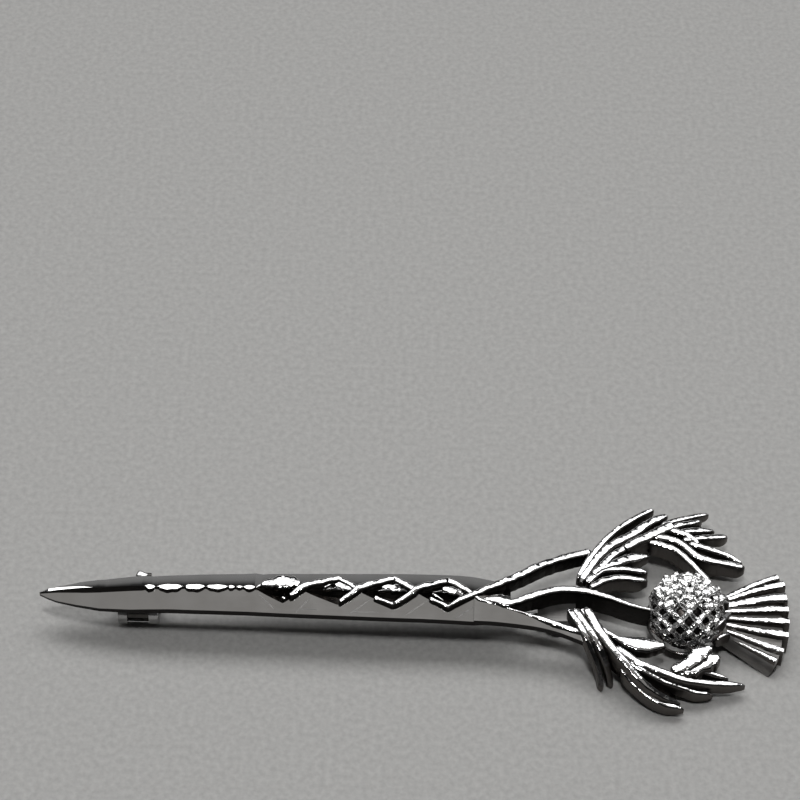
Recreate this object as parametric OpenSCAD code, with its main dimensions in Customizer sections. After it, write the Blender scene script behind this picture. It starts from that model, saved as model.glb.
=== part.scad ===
// Kilt pin with a thistle head, lying face up on its catch, leaf tips and flower.
// Stations run along the pin from the blade's point, and +Y is the side of the far leaf.

/* [Overall] */
// Length from the blade's point to the flower's end
pin_len = 90; // [80:1:105]
// Height of the blade's flat back above the table
stand_h = 4.4; // [4.2:0.1:5.5]
// Length over which the back bends down to the flower's end
bend_len = 45; // [40:1:50]

// Length of the head, from the fork where the stems part to the flower's end
head_len = 36.5; // [34:0.5:40]

/* [Blade] */
// Greatest width of the blade
blade_w = 6.6; // [5.6:0.1:7.6]
// Height of the blade's side walls
edge_t = 0.85; // [0.6:0.05:1.2]
// Height of the ridge above the side walls
ridge_h = 1.1; // [0.7:0.05:1.5]

/* [Twist] */
// Length of the twist, from the first crossing of the strands to the fork
twist_len = 27.7; // [25:0.1:31]
// Width of a strand on the blade
strand_w = 1.0; // [0.7:0.05:1.3]
// Height of a strand above the blade's slope
strand_h = 0.4; // [0.25:0.05:0.7]

/* [Stems] */
// Width of the stems past the fork
stem_w = 1.6; // [1.2:0.1:2]
// Height of the stems from back to top
stem_t = 2.1; // [1.6:0.1:2.6]

/* [Leaves] */
// Reach of the far leaf from the pin's middle line
far_reach = 15.4; // [13:0.2:17]
// Reach of the near leaf from the pin's middle line
near_reach = 12.4; // [11:0.2:14]
// Width of a common finger of a leaf
finger_w = 1.3; // [1:0.1:1.6]
// Height of the leaves from back to top
leaf_t = 2.1; // [1.6:0.1:2.6]

/* [Bulb] */
// Length of the bulb along the pin
bulb_len = 9.6; // [8.6:0.2:10.4]
// Width of the bulb
bulb_w = 10.3; // [9.4:0.1:11]
// Height of the bulb's upright wall
bulb_wall_h = 1.5; // [1:0.1:2]
// Height of the dome above that wall
bulb_dome_h = 4.4; // [3.6:0.1:5]
// Depth of the pits between the lattice bars
pit_depth = 0.75; // [0.4:0.05:1]

/* [Flower] */
// Length of the flower past the bulb
flower_len = 8; // [7:0.1:9]
// Width of the flower at its neck
neck_w = 4.4; // [3.6:0.2:5]
// Width of the flower at its open end
flower_w = 12.8; // [11:0.2:14]
// Height of the flower at its open end
flower_h = 3.3; // [2.6:0.1:4]

/* [Hinge] */
// Distance of the rivet past the fork
hinge_off = 8.5; // [7.5:0.1:9.5]
// Height of the rivet's axis above the table
hinge_z = 1.4; // [1.35:0.05:1.5]
// Length of the bracket's plate
plate_len = 4.6; // [4:0.1:5]
// Thickness of the sheet of bracket and housing
sheet_t = 0.6; // [0.5:0.05:0.7]
// Width of the gap between the ears
ear_gap = 1.8; // [1.5:0.1:2.2]
// Radius of the ears
ear_r = 1.2; // [1.1:0.05:1.3]
// Diameter of the rivet
rivet_d = 0.8; // [0.6:0.05:0.9]
// Running clearance all round the rivet
rivet_play = 0.04; // [0.02:0.01:0.06]
// Radius of the eye on the pin stem
eye_r = 0.95; // [0.85:0.05:1.05]

/* [Pin stem] */
// Diameter of the pin stem
wire_d = 1; // [0.8:0.05:1.1]
// Length of the stem's ground point
point_len = 5; // [3:0.5:7]
// Length of the stem's thicker root, from the rivet
root_len = 4; // [3.4:0.1:5]
// Diameter of that root
root_d = 1.34; // [1.32:0.01:1.4]

/* [Catch] */
// Station of the catch's middle
catch_s = 11.4; // [11:0.1:13]
// Height of the catch's axis above the table
catch_z = 1.8; // [1.75:0.05:1.9]
// Length of the catch along the pin
catch_len = 4.8; // [4.4:0.1:5.4]
// Thickness of each cheek
cheek_t = 1.1; // [0.9:0.05:1.2]
// Radius of the cheeks
cheek_r = 1.9; // [1.85:0.05:2]
// Radius of the rotor's barrel
barrel_r = 1.2; // [1.1:0.05:1.25]
// Radius of the rotor's collar between the cheeks
collar_r = 1.65; // [1.5:0.05:1.7]
// Clearance round the stem in the rotor
wire_play = 0.15; // [0.1:0.01:0.2]
// Running clearance round the rotor
rotor_play = 0.06; // [0.03:0.01:0.08]
// Length of the lever from the rotor's axis
lever_len = 4.6; // [4:0.1:5.2]
// Thickness of the lever
lever_t = 0.8; // [0.6:0.05:0.9]
// Angle of the lever above the far side
lever_rise = 18; // [12:1:20]

/* [Hidden] */
$fn = 48;
// Gap that stands for the film of solder between two pieces
solder_gap = 0.03;
// Small step that takes a cut past a face
past = 0.2;
// Power of the curve that the back follows past its bend
bend_power = 1.5;

// Stations of the fork, of the bend, of the rivet and of the bulb's neck and middle
fork_s = pin_len - head_len;
bend_s = pin_len - bend_len;
hinge_s = fork_s + hinge_off;
neck_s = pin_len - flower_len;
// Share of the bulb's length between its middle and the flower's neck
neck_share = 0.46;
bulb_s = neck_s - neck_share * bulb_len;
// The middle line is set off so that the two leaves reach equally far from the origin
axis_y = (near_reach - far_reach) / 2;

// Height of the casting's back above the table at a station
function back_z(s) = stand_h * (1 - pow(max(0, s - bend_s) / (pin_len - bend_s), bend_power));

// Value at share t of a curve that passes through a, b and c
function through(a, b, c, t) = a * (1 - t) * (1 - 2 * t) + 4 * b * t * (1 - t) + c * t * (2 * t - 1);

// Closed skin over rings that all have the same number of points
module skin(rings) {
    n = len(rings[0]);
    last = len(rings) - 1;
    polyhedron(
        points = [for (r = rings) each r],
        faces = concat(
            [[for (i = [n - 1:-1:0]) i]],
            [[for (i = [0:n - 1]) last * n + i]],
            [for (r = [0:last - 1], i = [0:n - 1])
                [r * n + i, (r + 1) * n + (i + 1) % n, (r + 1) * n + i]],
            [for (r = [0:last - 1], i = [0:n - 1])
                [r * n + i, r * n + (i + 1) % n, (r + 1) * n + (i + 1) % n]]
        )
    );
}

// Section of a bar: shares of its width and of its height
ROUND_TOP = [[-0.5, 0], [-0.5, 0.5], [-0.36, 0.84], [0, 1], [0.36, 0.84], [0.5, 0.5], [0.5, 0]];

// Columns of a bar's rows: station, side, height of the foot, width, height
S = 0;
Y = 1;
FOOT = 2;
WIDE = 3;
HIGH = 4;

// Ring of a bar at row i, square to the bar's course in plan
function bar_ring(rows, i) =
    let (
        a = rows[max(0, i - 1)],
        b = rows[min(len(rows) - 1, i + 1)],
        course = [b[S] - a[S], b[Y] - a[Y]],
        side = [-course[1], course[0]] / norm(course),
        at = rows[i]
    )
    [for (p = ROUND_TOP) [
        at[S] + side[0] * p[0] * at[WIDE],
        at[Y] + side[1] * p[0] * at[WIDE],
        at[FOOT] + p[1] * at[HIGH]
    ]];

module bar(rows) {
    skin([for (i = [0:len(rows) - 1]) bar_ring(rows, i)]);
}

// Blade: share of the length to the fork, share of the half width, share of the ridge
BLADE = [
    [0.00, 0.03, 0.02],
    [0.04, 0.22, 0.20],
    [0.08, 0.37, 0.33],
    [0.13, 0.53, 0.45],
    [0.20, 0.66, 0.55],
    [0.35, 0.77, 0.80],
    [0.55, 0.88, 0.95],
    [0.80, 0.97, 1.00],
    [0.97, 1.00, 1.00],
    [1.03, 0.86, 0.80],
    [1.06, 0.55, 0.60]
];

// Value of one of the blade's columns at a station
function blade_share(s, column) = lookup(s / fork_s, [for (row = BLADE) [row[0], row[column]]]);

// Half the blade's width at a station
function blade_half(s) = blade_w / 2 * blade_share(s, 1);

// Height of the blade's roof at a station and side
function roof_z(s, y) =
    back_z(s) + edge_t + ridge_h * blade_share(s, 2) * max(0, 1 - abs(y) / blade_half(s));

module blade() {
    skin([for (row = BLADE)
        let (
            s = row[0] * fork_s,
            half = blade_w / 2 * row[1],
            back = back_z(s),
            wall = edge_t * min(1, row[1] + 0.3)
        )
        [[s, -half, back], [s, -half, back + wall], [s, 0, back + wall + ridge_h * row[2]],
            [s, half, back + wall], [s, half, back]]
    ]);
}

// Strands on the ridge
crossings = 4;
twist_s = fork_s - twist_len;
// Distance of the last crossing before the fork
last_gap = 1;
twist_pitch = (twist_len - last_gap) / crossings;
// Share of the blade's half width that a strand swings out
swing = 0.57;
// Extra height of the strand that passes over at a crossing
over_h = 0.3;

// Row of a strand at a number of pitches past the first crossing
function strand_row(turns, sign) =
    let (
        s = twist_s + turns * twist_pitch,
        leg = turns - floor(turns),
        wave = 1 - abs(2 * leg - 1),
        side = sign * (floor(turns) % 2 == 0 ? 1 : -1),
        y = side * swing * blade_half(s) * pow(wave, 0.85),
        rising = side < 0 ? leg > 0.5 : leg < 0.5,
        lift = rising && turns > 0.5 ? over_h * pow(1 - wave, 2) : 0,
        foot = back_z(s) + edge_t / 2
    )
    [s, y, foot, strand_w, roof_z(s, y) + strand_h + lift - foot];

// Strand from its first crossing to a number of pitches on
function strand(sign, turns) = [for (k = [0, each [0.1:0.2:turns]]) strand_row(k, sign)];

// Stems past the fork: share of the head's length, side as a share of a leaf's reach,
// share of stem_w, share of stem_t. A lower stem hangs from the same level of tops.
FAR_STEM = [
    [-0.02, 0.03, 0.75, 1.00],
    [0.05, 0.14, 0.90, 0.95],
    [0.11, 0.22, 1.00, 0.90],
    [0.18, 0.33, 1.00, 0.85],
    [0.26, 0.43, 1.00, 0.85],
    [0.32, 0.49, 1.00, 0.90],
    [0.37, 0.54, 0.90, 1.00]
];
THISTLE_STEM = [
    [0.00, -0.02, 0.50, 1.00],
    [0.03, -0.04, 0.90, 1.00],
    [0.09, -0.05, 1.00, 1.00],
    [0.15, 0.01, 1.00, 1.00],
    [0.24, 0.105, 1.05, 1.00],
    [0.34, 0.105, 1.10, 1.00],
    [0.43, 0.04, 1.10, 1.00],
    [0.50, -0.01, 1.10, 1.00],
    [0.56, -0.03, 1.10, 1.00]
];
NEAR_STEM = [
    [-0.03, 0.05, 0.70, 1.00],
    [0.02, -0.11, 0.90, 1.00],
    [0.08, -0.21, 1.00, 0.95],
    [0.14, -0.29, 1.00, 0.85],
    [0.20, -0.35, 1.00, 0.80],
    [0.27, -0.40, 1.00, 0.80],
    [0.34, -0.46, 1.00, 0.80],
    [0.41, -0.51, 0.90, 0.90]
];
// Tail of the blade's near slope, which runs on under the near stem
NEAR_TAIL = [
    [-0.04, 0.00, 4.10, 0.60],
    [0.015, -0.11, 2.50, 0.60],
    [0.08, -0.21, 1.30, 0.60],
    [0.17, -0.32, 0.90, 0.60]
];

// Rows of a stem whose tops lie level with a share of stem_t above the back
function stem_rows(table, reach, top_share = 1) =
    [for (row = table)
        let (s = fork_s + row[0] * head_len)
        [s, row[1] * reach, back_z(s) + stem_t * (top_share - row[3]), stem_w * row[2], stem_t * row[3]]
    ];

// Leaf fingers, each a curve through root, middle and tip.
// Places are shares of the head's length and of the leaf's reach.
// Feet are shares of the back's height, so 0 rests on the table, and widths of finger_w.
R_S = 0;
R_Y = 1;
M_S = 2;
M_Y = 3;
T_S = 4;
T_Y = 5;
R_FOOT = 6;
M_FOOT = 7;
T_FOOT = 8;
R_WIDE = 9;
T_WIDE = 10;

FAR_LEAF = [
    [0.315, 0.15, 0.380, 0.55, 0.560, 0.94, 1.0, 1.10, 1.35, 1.00, 0.92],
    [0.325, 0.14, 0.430, 0.56, 0.605, 0.91, 1.0, 1.10, 1.35, 1.08, 1.00],
    [0.325, 0.13, 0.420, 0.45, 0.535, 0.640, 1.0, 1.05, 1.15, 1.00, 1.00],
    [0.360, 0.24, 0.445, 0.45, 0.540, 0.54, 1.0, 1.05, 1.15, 0.77, 1.15],
    [0.325, 0.12, 0.415, 0.34, 0.530, 0.34, 1.0, 1.0, 1.05, 0.92, 0.77],
    [0.335, 0.11, 0.425, 0.245, 0.530, 0.235, 1.0, 1.0, 1.0, 1.00, 0.69],
    [0.430, 0.55, 0.560, 0.68, 0.680, 0.70, 1.05, 1.2, 1.3, 1.69, 1.54],
    [0.540, 0.62, 0.655, 0.54, 0.735, 0.25, 1.15, 1.3, 1.7, 1.23, 1.00],
    [0.570, 0.69, 0.715, 0.575, 0.860, 0.46, 1.15, 1.35, 1.6, 1.31, 0.85],
    [0.570, 0.78, 0.660, 0.92, 0.745, 0.955, 1.15, 1.3, 1.4, 1.08, 0.77],
    [0.580, 0.74, 0.660, 0.84, 0.735, 0.87, 1.15, 1.3, 1.4, 0.92, 0.69],
    [0.600, 0.70, 0.690, 0.77, 0.770, 0.80, 1.2, 1.35, 1.5, 1.00, 0.85],
    [0.640, 0.66, 0.720, 0.69, 0.805, 0.74, 1.2, 1.35, 1.5, 1.15, 1.15]
];
NEAR_LEAF = [
    [0.270, -0.08, 0.318, -0.38, 0.368, -0.77, 1.0, 1.10, 0.0, 1.00, 0.77],
    [0.295, -0.08, 0.368, -0.40, 0.412, -0.77, 1.0, 1.10, 0.0, 1.08, 0.85],
    [0.320, -0.10, 0.460, -0.62, 0.620, -0.94, 1.0, 1.00, 0.05, 1.46, 0.85],
    [0.445, -0.70, 0.530, -0.87, 0.645, -0.965, 0.6, 0.15, 0.0, 1.00, 0.69],
    [0.470, -0.60, 0.600, -0.80, 0.730, -0.835, 0.95, 0.50, 0.0, 1.15, 0.85],
    [0.480, -0.62, 0.655, -0.72, 0.835, -0.745, 0.95, 0.70, 0.15, 1.23, 0.85],
    [0.640, -0.66, 0.720, -0.665, 0.790, -0.69, 0.7, 0.65, 0.7, 0.85, 0.62],
    [0.400, -0.45, 0.485, -0.42, 0.565, -0.45, 1.0, 1.05, 1.15, 1.54, 0.85],
    [0.400, -0.50, 0.510, -0.62, 0.640, -0.69, 1.0, 1.0, 0.9, 1.38, 1.00],
    [0.620, -0.69, 0.680, -0.59, 0.720, -0.45, 0.9, 1.2, 1.6, 1.00, 0.77],
    [0.650, -0.70, 0.715, -0.67, 0.760, -0.56, 0.8, 1.0, 1.5, 1.00, 0.69]
];
// Rings along a finger
finger_steps = 6;
// Height of a finger's tip as a share of the leaf's height
tip_share = 0.8;

function finger_rows(row, reach) =
    [for (k = [0:finger_steps])
        let (
            t = k / finger_steps,
            s = fork_s + head_len * through(row[R_S], row[M_S], row[T_S], t),
            y = reach * through(row[R_Y], row[M_Y], row[T_Y], t),
            foot = max(0, back_z(s) * through(row[R_FOOT], row[M_FOOT], row[T_FOOT], t)),
            wide = finger_w * (row[R_WIDE] + (row[T_WIDE] - row[R_WIDE]) * t)
        )
        [s, y, foot, wide, leaf_t * (1 - (1 - tip_share) * t * t)]
    ];

module leaf(table, reach) {
    for (row = table) {
        bar(finger_rows(row, reach));
    }
}

// Bulb with pits that leave a raised diamond lattice
bulb_foot = back_z(bulb_s);
pit_rings = 7;
pits_round = 6;
pit_turn = 180 / pits_round;
// Share of the bulb's half length between two rings of pits
pit_step_share = 0.245;
// Shares of the spacing that a pit takes along the pin and round the bulb
pit_long_share = 0.8;
pit_wide_share = 0.42;
// Shares of that room which a pit's floor and its mouth take
pit_floor_share = 0.35;
pit_mouth_share = 1.1;
// Height of the tool that cuts a pit
pit_height = 1.4 * pit_depth;

module bulb() {
    half = bulb_len / 2;
    difference() {
        union() {
            translate([bulb_s, 0, bulb_foot])
                scale([bulb_len, bulb_w, 1])
                    cylinder(d = 1, h = bulb_wall_h);
            intersection() {
                translate([bulb_s, 0, bulb_foot + bulb_wall_h])
                    scale([bulb_len, bulb_w, 2 * bulb_dome_h])
                        rotate([0, 90, 0])
                            sphere(d = 1, $fn = 36);
                translate([bulb_s - half, -bulb_w / 2, bulb_foot + bulb_wall_h - past])
                    cube([bulb_len, bulb_w, bulb_dome_h + 2 * past]);
            }
        }
        for (k = [0:pit_rings - 1]) {
            for (j = [0:pits_round]) {
                pit(k - (pit_rings - 1) / 2, (j + (k % 2) / 2 - pits_round / 2) * pit_turn);
            }
        }
    }
}

// One four-sided pit, at a number of rings from the middle and an angle from straight up
module pit(ring, turn) {
    along = ring * pit_step_share;
    round_r = sqrt(1 - along * along);
    at = [
        along * bulb_len / 2,
        round_r * sin(turn) * bulb_w / 2,
        round_r * cos(turn) * bulb_dome_h
    ];
    out = [at[0] / pow(bulb_len / 2, 2), at[1] / pow(bulb_w / 2, 2), at[2] / pow(bulb_dome_h, 2)];
    tilt = acos(out[2] / norm(out));
    heading = atan2(out[1], out[0]);
    mouth = round_r * bulb_w / 2 * sin(pit_turn) * pit_wide_share;
    if (abs(turn) < 85) {
        translate([bulb_s, 0, bulb_foot + bulb_wall_h] + at)
            rotate([0, 0, heading])
                rotate([0, tilt, 0])
                    rotate([0, 0, -heading])
                        scale([pit_step_share * bulb_len / 2 * pit_long_share, mouth, 1])
                            translate([0, 0, -pit_depth])
                                cylinder(pit_height, pit_floor_share, pit_mouth_share, $fn = 4);
    }
}

// Flower: a half cone of ridges
ridges = 8;
outer_share = 1 - 1 / ridges;
neck_h = 2.3;
// Share of the flower's length by which the outer ridges fall short
round_share = 0.3;
// Share of the flower's height that the outermost ridges lose
arch_share = 0.85;
// Shares of a ridge's height and width where its slope meets its wall and its crest
shoulder_share = 0.75;
crest_share = 0.5;
// Widths of a ridge at neck and end as shares of the spacing there
neck_fill_share = 1.6;
end_fill_share = 0.98;

// Post at an end of a ridge, standing on the back
module ridge_post(s, y, wide, high) {
    translate([s, y, back_z(s)])
        cylinder(d = wide, h = shoulder_share * high, $fn = 10);
    translate([s, y, back_z(s)])
        cylinder(d = crest_share * wide, h = high, $fn = 10);
}

module flower() {
    for (k = [0:ridges - 1]) {
        share = (2 * k + 1) / ridges - 1;
        arch = sqrt(1 - arch_share * share * share);
        neck_wide = neck_fill_share * neck_w / ridges;
        end_wide = end_fill_share * flower_w / ridges;
        end_s = pin_len - end_wide / 2 - round_share * (pin_len - neck_s) * (1 - sqrt(1 - share * share));
        hull() {
            ridge_post(neck_s, share * (neck_w - neck_wide) / 2, neck_wide, neck_h * arch);
            ridge_post(end_s, share / outer_share * (flower_w - end_wide) / 2, end_wide, flower_h * arch);
        }
    }
}

// Pad under the thistle's stem that gives the bracket a level seat
plate_top = back_z(hinge_s + plate_len / 2) - solder_gap;
pad_near = 1;
pad_far = 2.6;
pad_t = 0.9;

module hinge_pad() {
    translate([hinge_s - plate_len / 2, -pad_near, plate_top + solder_gap])
        cube([plate_len, pad_near + pad_far, pad_t]);
}

module casting() {
    color("silver")
        translate([-pin_len / 2, axis_y, 0])
            union() {
                blade();
                bar(concat(strand(1, 3.5), stem_rows(FAR_STEM, far_reach)));
                bar(concat(strand(-1, 3.7), stem_rows(NEAR_STEM, near_reach)));
                bar(stem_rows(THISTLE_STEM, far_reach));
                bar(stem_rows(NEAR_TAIL, near_reach, 0.6));
                leaf(FAR_LEAF, far_reach);
                leaf(NEAR_LEAF, near_reach);
                bulb();
                flower();
                hinge_pad();
            }
}

// Bracket: half the width over its ears
bracket_half = ear_gap / 2 + sheet_t;
// Clearance that lets the rivet pass the ears
rivet_fit = 0.01;

module across(y, r, length) {
    translate([0, y, 0])
        rotate([90, 0, 0])
            cylinder(r = r, h = length, center = true);
}

module hinge_bracket() {
    color("lightgray")
        translate([hinge_s - pin_len / 2, axis_y, 0])
            difference() {
                union() {
                    translate([-plate_len / 2, -bracket_half, plate_top - sheet_t])
                        cube([plate_len, 2 * bracket_half, sheet_t]);
                    for (side = [-1, 1]) {
                        translate([0, side * (bracket_half - sheet_t / 2), 0]) {
                            translate([0, 0, hinge_z])
                                across(0, ear_r, sheet_t);
                            translate([-ear_r, -sheet_t / 2, hinge_z])
                                cube([2 * ear_r, sheet_t, plate_top - sheet_t / 2 - hinge_z]);
                        }
                    }
                }
                translate([0, 0, hinge_z])
                    across(0, rivet_d / 2 + rivet_fit, 2 * bracket_half + 2 * past);
            }
}

// Rivet heads
rivet_head_r = 0.75 * rivet_d;
rivet_head_t = 0.25;

module hinge_rivet() {
    color("gainsboro")
        translate([hinge_s - pin_len / 2, axis_y, hinge_z]) {
            across(0, rivet_d / 2, 2 * (bracket_half + solder_gap + rivet_head_t));
            for (side = [-1, 1]) {
                across(side * (bracket_half + solder_gap + rivet_head_t / 2), rivet_head_r, rivet_head_t);
            }
        }
}

// Clearance at each side of the eye between the ears
eye_play = 0.1;
// Distance from the rivet at which the stem's root ends inside the ring of the eye
root_end = 0.6 * eye_r;
// Radius of the stem's blunted tip
tip_r = 0.1;
// Distance from the catch's outer face to the stem's tip inside it
tip_inset = 0.3;
tip_s = catch_s - catch_len / 2 + tip_inset;

// Cylinder along the pin between two stations
module along(s0, s1, r) {
    translate([s0, 0, 0])
        rotate([0, 90, 0])
            cylinder(r = r, h = s1 - s0);
}

// Wire with its point and its root, turned in one piece: radius and station
module wire() {
    rotate([0, 90, 0])
        rotate_extrude()
            polygon([
                [0, tip_s],
                [tip_r, tip_s],
                [wire_d / 2, tip_s + point_len],
                [wire_d / 2, hinge_s - root_len],
                [root_d / 2, hinge_s - root_len],
                [root_d / 2, hinge_s - root_end],
                [0, hinge_s - root_end]
            ]);
}

module pin_stem() {
    color("whitesmoke")
        translate([-pin_len / 2, axis_y, 0])
            difference() {
                union() {
                    translate([hinge_s, 0, hinge_z])
                        across(0, eye_r, ear_gap - 2 * eye_play);
                    translate([0, 0, catch_z])
                        wire();
                }
                translate([hinge_s, 0, hinge_z])
                    across(0, rivet_d / 2 + rivet_play, ear_gap + 2 * past);
            }
}

// Catch
slot_w = wire_d + 2 * wire_play;
housing_top = stand_h - solder_gap;
// Half the width of the cheeks where they meet the plate
cheek_neck = 0.8 * cheek_r;
gap_len = catch_len - 2 * cheek_t;

// Slot from the catch's axis straight down, cut over a length about the middle
module wire_slot(length) {
    translate([-length / 2, -slot_w / 2, -cheek_r - past])
        cube([length, slot_w, cheek_r + past]);
}

module catch_housing() {
    color("lightgray")
        translate([catch_s - pin_len / 2, axis_y, 0])
            difference() {
                union() {
                    translate([-catch_len / 2, -cheek_neck, housing_top - sheet_t])
                        cube([catch_len, 2 * cheek_neck, sheet_t]);
                    for (s = [-catch_len / 2, catch_len / 2 - cheek_t]) {
                        translate([0, 0, catch_z])
                            along(s, s + cheek_t, cheek_r);
                        translate([s, -cheek_neck, catch_z])
                            cube([cheek_t, 2 * cheek_neck, housing_top - catch_z - sheet_t / 2]);
                    }
                }
                translate([0, 0, catch_z]) {
                    along(-catch_len, catch_len, barrel_r + rotor_play);
                    wire_slot(2 * catch_len);
                }
                translate([-catch_len, -2 * cheek_r, -cheek_r])
                    cube([2 * catch_len, 4 * cheek_r, cheek_r]);
            }
}

// Clearance at each side of the collar between the cheeks
collar_play = 0.08;
lever_w = gap_len / 2;

module catch_rotor() {
    color("whitesmoke")
        translate([catch_s - pin_len / 2, axis_y, catch_z])
            difference() {
                union() {
                    along(-catch_len / 2, catch_len / 2, barrel_r);
                    along(collar_play - gap_len / 2, gap_len / 2 - collar_play, collar_r);
                    rotate([lever_rise, 0, 0])
                        translate([gap_len / 2 - collar_play - lever_w, 0, 0]) {
                            translate([0, 0, -lever_t / 2])
                                cube([lever_w, lever_len - lever_t / 2, lever_t]);
                            translate([0, lever_len - lever_t / 2, 0])
                                along(0, lever_w, lever_t / 2);
                        }
                }
                along(-catch_len, catch_len, slot_w / 2);
                wire_slot(2 * catch_len);
            }
}

casting();
hinge_bracket();
hinge_rivet();
pin_stem();
catch_housing();
catch_rotor();
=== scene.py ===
import math

import bmesh
import bpy
from mathutils import Matrix, Vector, noise


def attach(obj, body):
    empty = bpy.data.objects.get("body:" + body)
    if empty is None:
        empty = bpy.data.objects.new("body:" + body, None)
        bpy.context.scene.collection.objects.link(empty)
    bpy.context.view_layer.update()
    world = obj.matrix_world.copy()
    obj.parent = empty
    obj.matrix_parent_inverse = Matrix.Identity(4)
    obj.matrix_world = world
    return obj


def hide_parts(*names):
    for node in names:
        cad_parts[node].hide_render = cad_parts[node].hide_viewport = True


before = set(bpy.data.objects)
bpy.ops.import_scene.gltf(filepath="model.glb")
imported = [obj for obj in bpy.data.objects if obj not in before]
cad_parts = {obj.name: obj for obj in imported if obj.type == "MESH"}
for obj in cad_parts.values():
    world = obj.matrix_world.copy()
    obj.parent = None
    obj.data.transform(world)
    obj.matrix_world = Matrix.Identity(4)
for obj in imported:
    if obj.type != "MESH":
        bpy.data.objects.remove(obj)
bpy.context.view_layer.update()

# Lengths are written in millimetres, as stations from the blade's point and sides from its ridge
MM = 0.001
# Station of the frame's origin, and the ridge's side in the frame
HALF_LEN = 45.0
AXIS_SIDE = -1.5
# Height of the back over the table, the station where it starts to bend down, the power of that
# curve, and the pin's length
STAND = 4.4
BEND = 45.0
BEND_POWER = 1.5
FULL_LEN = 90.0
# Station where the twist starts
TWIST = 25.8


def place(s, y, z):
    """Point of the frame, in metres, at a station, side and height."""
    return Vector(((s - HALF_LEN) * MM, (y + AXIS_SIDE) * MM, z * MM))


def back_height(s):
    """Height of the pin's back over the table."""
    return STAND * (1 - (max(0.0, s - BEND) / (FULL_LEN - BEND)) ** BEND_POWER)


def blend_value(a, b, t):
    return a + (b - a) * t


def table_value(table, x, column=1):
    """Value of a table's column at x, with straight runs between its rows."""
    if x <= table[0][0]:
        return table[0][column]
    for low, high in zip(table, table[1:]):
        if x <= high[0]:
            return blend_value(low[column], high[column], (x - low[0]) / (high[0] - low[0]))
    return table[-1][column]


def smooth_rows(rows, steps):
    """Rows of a curve that runs smoothly through the given rows."""
    out = []
    for i in range(len(rows) - 1):
        a, b, c, d = rows[max(0, i - 1)], rows[i], rows[i + 1], rows[min(len(rows) - 1, i + 2)]
        for k in range(steps):
            t = k / steps
            out.append([
                0.5 * (2 * q + (r - p) * t + (2 * p - 5 * q + 4 * r - u) * t * t
                       + (3 * q - p - 3 * r + u) * t * t * t)
                for p, q, r, u in zip(a, b, c, d)
            ])
    out.append(list(rows[-1]))
    return out


# Making meshes

def loft(bm, rings):
    """Closed bar: the first ring's face is extruded from ring to ring."""
    face = bm.faces.new([bm.verts.new(p) for p in rings[0]])
    ordered = list(face.verts)
    for ring in rings[1:]:
        made = bmesh.ops.extrude_face_region(bm, geom=[face])["geom"]
        face = next(g for g in made if isinstance(g, bmesh.types.BMFace))
        fresh = list(face.verts)
        matched = []
        for v in ordered:
            near = min(fresh, key=lambda w: (w.co - v.co).length_squared)
            fresh.remove(near)
            matched.append(near)
        for v, p in zip(matched, ring):
            v.co = p
        ordered = matched


def paint_second(bm, first):
    """Gives the faces from a number on the piece's second material, which is painted shade on every
    piece that uses it.
    """
    bm.faces.ensure_lookup_table()
    for face in bm.faces[first:]:
        face.material_index = 1


def finish_piece(bm, name, materials, body, sharp, nodes=()):
    """Makes the mesh an object that rides on its body and takes the given materials."""
    bmesh.ops.recalc_face_normals(bm, faces=bm.faces)
    mesh = bpy.data.meshes.new(name)
    bm.to_mesh(mesh)
    bm.free()
    mesh.shade_smooth()
    mesh.set_sharp_from_angle(angle=math.radians(sharp))
    for material in materials:
        mesh.materials.append(material)
    piece = bpy.data.objects.new(name, mesh)
    bpy.context.scene.collection.objects.link(piece)
    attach(piece, body)
    if nodes:
        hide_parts(*nodes)
    return piece


# Section of a bar with a softly crowned top: share of the width, drop below the top in mm,
# share of the height
BAR = [
    (-0.50, 0.00, 1.00), (-0.52, 0.00, 0.55), (-0.50, 0.20, 0.10), (-0.46, 0.09, 0.03),
    (-0.37, 0.035, 0.0), (-0.20, 0.01, 0.0), (0.0, 0.0, 0.0), (0.20, 0.01, 0.0),
    (0.37, 0.035, 0.0), (0.46, 0.09, 0.03), (0.50, 0.20, 0.10), (0.52, 0.00, 0.55),
    (0.50, 0.00, 1.00),
]
# Rounded end of a bar, over its last three rings: share of the width, and sink in mm
END_SHRINK = (0.93, 0.74, 0.36)
END_SINK = (0.0, 0.05, 0.22)


def bar_rings(rows, tip=True, root=False, rough=0.03, seed=0.0):
    """Rings of a bar. A row holds station, side, top, width and height."""
    rings = []
    count = len(rows)
    for i, (s, y, z, wide, high) in enumerate(rows):
        before, after = rows[max(0, i - 1)], rows[min(count - 1, i + 1)]
        course = Vector((after[0] - before[0], after[1] - before[1]))
        if course.length < 1e-6:
            course = Vector((1.0, 0.0))
        course.normalize()
        side = Vector((-course.y, course.x))
        shrink, sink = 1.0, 0.0
        if tip and i >= count - 3:
            shrink, sink = END_SHRINK[i - count + 3], END_SINK[i - count + 3]
        if root and i < 3:
            shrink, sink = END_SHRINK[2 - i], END_SINK[2 - i]
        shift = rough * noise.noise(Vector((s * 0.9 + seed, y * 0.9, 3.1)))
        swell = (1 + 2.2 * rough * noise.noise(Vector((s * 1.3, y * 1.3, 7.7 + seed)))
                 + 1.6 * rough * noise.noise(Vector((s * 3.1, y * 3.1, 2.2 + seed))))
        ring = []
        for u, drop, share in BAR:
            across = u * wide * shrink * swell
            ring.append(place(s + side.x * across, y + side.y * across,
                              z + shift - sink - drop * shrink - share * (high - sink)))
        rings.append(ring)
    return rings


# Blade. Its tables hold station and value

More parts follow.
